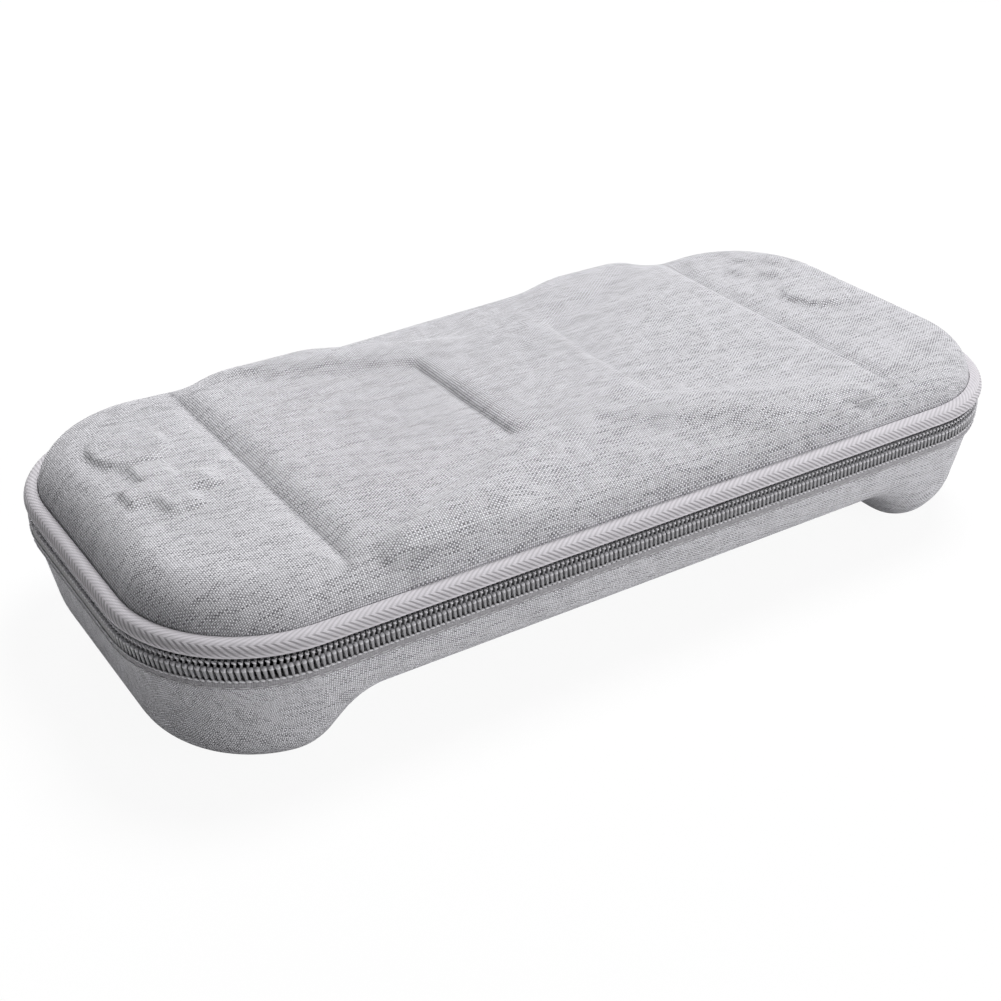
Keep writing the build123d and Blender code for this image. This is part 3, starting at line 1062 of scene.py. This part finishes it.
class CASE_OT_stitching(bpy.types.Operator):
    """Sew the coil down with a chain stitch and the lower tape with a running stitch"""

    bl_idname = "zipcase.stitching"
    bl_label = "Stitching"

    def execute(self, context):
        sizes = context.scene.case_zip
        thread = sewing_thread(sizes)
        pitch = sizes.coil_pitch
        out = BASE_COIL_HIGH.x - HALF_LENGTH - 0.1 * MM
        for name, body, place, length, slant in (
            ("base_chain_stitch", "base", (out, BASE_COIL_LOW.z + 0.05 * MM), 1.0, 0.35),
            ("lid_chain_stitch", "lid", (out - 0.4 * MM, LID_COIL_HIGH.z - 0.45 * MM), 0.7, 0.5),
        ):
            bar = stitch_bar(length * pitch, 0.62 * MM, 0.10 * MM)
            row = stitch_row(name, bar, pitch, 0.75 * pitch, COIL_RUN, place, slant)
            dress(row, body, "zip_nylon", [], thread)
        pitch = 3.0 * MM
        place = (TAPE_HIGH.x - HALF_LENGTH, TAPE_LOW.z + 0.5 * MM)
        bar = stitch_bar(2.3 * MM, 0.30 * MM, 0.06 * MM)
        row = stitch_row("tape_stitch", bar, pitch, pitch / 2, PATH_LENGTH, place, 0.0)
        dress(row, "base", "lower_tape", [], thread)
        return {"FINISHED"}


class CASE_OT_hinge(bpy.types.Operator):
    """Bulge the cloth strip that joins lid and base along the back"""

    bl_idname = "zipcase.hinge"
    bl_label = "Cloth hinge"

    def execute(self, context):
        half = (HINGE_HIGH.z - HINGE_LOW.z) / 2
        centre = (HINGE_HIGH.y - half, (HINGE_HIGH.z + HINGE_LOW.z) / 2)
        thick = 0.9 * MM
        profile = arc_points(centre, half, -88, 88, 19)
        profile += arc_points(centre, half - thick, 88, -88, 19)
        strip = straight_strip("hinge_cloth", profile, HINGE_LOW.x, HINGE_HIGH.x - HINGE_LOW.x, 90)
        edit_all(
            strip,
            lambda: bpy.ops.mesh.remove_doubles(threshold=0.02 * MM),
            lambda: bpy.ops.mesh.select_all(action="DESELECT"),
            lambda: bpy.ops.mesh.select_non_manifold(),
            lambda: bpy.ops.mesh.fill_holes(sides=0),
            lambda: bpy.ops.mesh.select_all(action="SELECT"),
            lambda: bpy.ops.mesh.normals_make_consistent(inside=False),
        )
        shade_folds(strip)
        strip.data.materials.append(ribbed_tape("hinge_weave", context.scene.case_zip.hinge, 0.6 * MM))
        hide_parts("hinge_strip")
        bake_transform(strip)
        return {"FINISHED"}


class CASE_OT_ribbons(bpy.types.Operator):
    """Finish the ribbons inside both rims"""

    bl_idname = "zipcase.ribbons"
    bl_label = "Edge ribbons"

    def execute(self, context):
        refinish(("lid_binding", "base_binding"), edge_ribbon())
        return {"FINISHED"}


class CASE_OT_sliders(bpy.types.Operator):
    """Enamel the sliders and their pulls"""

    bl_idname = "zipcase.sliders"
    bl_label = "Sliders and pulls"

    def execute(self, context):
        metal = ("slider_front", "slider_back", "pull_front", "pull_back")
        refinish(metal, baked_enamel(context.scene.case_zip))
        return {"FINISHED"}


def white_for_camera(finish, colour, keep):
    """A diffuse floor that the camera sees as nearly white, with a trace of its shadow round the case."""
    away = finish.node("ShaderNodeVectorMath", {"operation": "LENGTH"}, {0: finish.place()}, "Value")
    trace = keep * finish.clip(away, 0.9, 0.3)
    rays = finish.node("ShaderNodeLightPath")
    ways = rays.socket.node.outputs
    seen = Socket(finish, ways["Is Camera Ray"])
    seen = seen.math("MAXIMUM", Socket(finish, ways["Is Glossy Ray"]))
    seen = seen.math("MAXIMUM", Socket(finish, ways["Is Transmission Ray"]))
    finish.set(Base_Color=colour, Roughness=0.9, Specular_IOR_Level=0.0)
    glow = finish.node("ShaderNodeEmission", None, {"Color": (1.0, 1.0, 1.0, 1.0), "Strength": 1.0})
    lit = Socket(finish, finish.shader.outputs[0])
    both = finish.node("ShaderNodeMixShader", None, {0: seen * (1.0 - trace), 1: lit, 2: glow})
    finish.tree.links.new(both.socket, finish.tree.nodes["Material Output"].inputs["Surface"])
    return finish.material


class CASE_OT_studio(bpy.types.Operator):
    """Set up the floor, the lamps, the sky and the camera"""

    bl_idname = "zipcase.studio"
    bl_label = "Studio"

    def execute(self, context):
        scene = context.scene
        studio = scene.case_studio
        bpy.ops.object.select_all(action="DESELECT")
        bpy.ops.mesh.primitive_plane_add(size=6.0, location=(0.0, 0.0, -0.2 * MM))
        floor = context.object
        floor.name = "studio_floor"
        paper = white_for_camera(Finish("studio_floor"), rgba(studio.floor), keep=0.07)
        floor.data.materials.append(paper)

        for name, place, size, power in (
            ("key_lamp", (0.45, 0.20, 1.25), 0.65, studio.key),
            ("fill_lamp", (0.62, -1.05, 0.30), 0.6, studio.fill),
            ("back_lamp", (0.10, 1.15, 0.35), 0.6, studio.back),
        ):
            bpy.ops.object.light_add(type="AREA", location=place)
            lamp = context.object
            lamp.name = name
            lamp.data.shape = "DISK"
            lamp.data.size = size
            lamp.data.energy = power
            lamp.rotation_euler = lamp.location.to_track_quat("Z", "Y").to_euler()

        world = bpy.data.worlds.new("studio_sky")
        scene.world = world
        world.use_nodes = True
        tree = world.node_tree
        sky = tree.nodes["Background"]
        sky.inputs["Color"].default_value = (1.0, 1.0, 1.0, 1.0)
        sky.inputs["Strength"].default_value = studio.sky
        white = tree.nodes.new("ShaderNodeBackground")
        white.inputs["Color"].default_value = (1.0, 1.0, 1.0, 1.0)
        white.inputs["Strength"].default_value = 1.0
        rays = tree.nodes.new("ShaderNodeLightPath")
        both = tree.nodes.new("ShaderNodeMixShader")
        tree.links.new(rays.outputs["Is Camera Ray"], both.inputs[0])
        tree.links.new(sky.outputs[0], both.inputs[1])
        tree.links.new(white.outputs[0], both.inputs[2])
        tree.links.new(both.outputs[0], tree.nodes["World Output"].inputs["Surface"])

        bpy.ops.object.camera_add(location=studio.camera_place, rotation=studio.camera_turn)
        camera = context.object
        camera.name = "studio_camera"
        camera.data.lens = studio.lens
        camera.data.sensor_width = 36.0
        camera.data.clip_start = 0.01
        scene.camera = camera
        scene.view_settings.view_transform = "Standard"
        return {"FINISHED"}


class CASE_PT_sidebar(bpy.types.Panel):
    """The case's pieces, in the order in which they are made"""

    bl_label = "Zip case"
    bl_idname = "CASE_PT_sidebar"
    bl_space_type = "VIEW_3D"
    bl_region_type = "UI"
    bl_category = "Zip case"

    def draw(self, context):
        for operator in OPERATORS:
            self.layout.operator(operator.bl_idname)
        for group in ("case_cloth", "case_zip", "case_studio"):
            sizes = getattr(context.scene, group)
            column = self.layout.column()
            for name in sizes.bl_rna.properties.keys():
                if name not in ("rna_type", "name"):
                    column.prop(sizes, name)


OPERATORS = (
    CASE_OT_lid_cover,
    CASE_OT_base_cover,
    CASE_OT_bead,
    CASE_OT_lower_tape,
    CASE_OT_coil,
    CASE_OT_stitching,
    CASE_OT_hinge,
    CASE_OT_ribbons,
    CASE_OT_sliders,
    CASE_OT_studio,
)
CLASSES = (CaseCloth, CaseZip, CaseStudio) + OPERATORS + (CASE_PT_sidebar,)


def register():
    for kind in CLASSES:
        bpy.utils.register_class(kind)
    bpy.types.Scene.case_cloth = bpy.props.PointerProperty(type=CaseCloth)
    bpy.types.Scene.case_zip = bpy.props.PointerProperty(type=CaseZip)
    bpy.types.Scene.case_studio = bpy.props.PointerProperty(type=CaseStudio)


def unregister():
    del bpy.types.Scene.case_studio
    del bpy.types.Scene.case_zip
    del bpy.types.Scene.case_cloth
    for kind in reversed(CLASSES):
        bpy.utils.unregister_class(kind)


def main():
    register()
    bpy.ops.zipcase.lid_cover()
    bpy.ops.zipcase.base_cover()
    bpy.ops.zipcase.bead()
    bpy.ops.zipcase.lower_tape()
    bpy.ops.zipcase.coil()
    bpy.ops.zipcase.stitching()
    bpy.ops.zipcase.hinge()
    bpy.ops.zipcase.ribbons()
    bpy.ops.zipcase.sliders()
    bpy.ops.zipcase.studio()


if __name__ == "__main__":
    main()
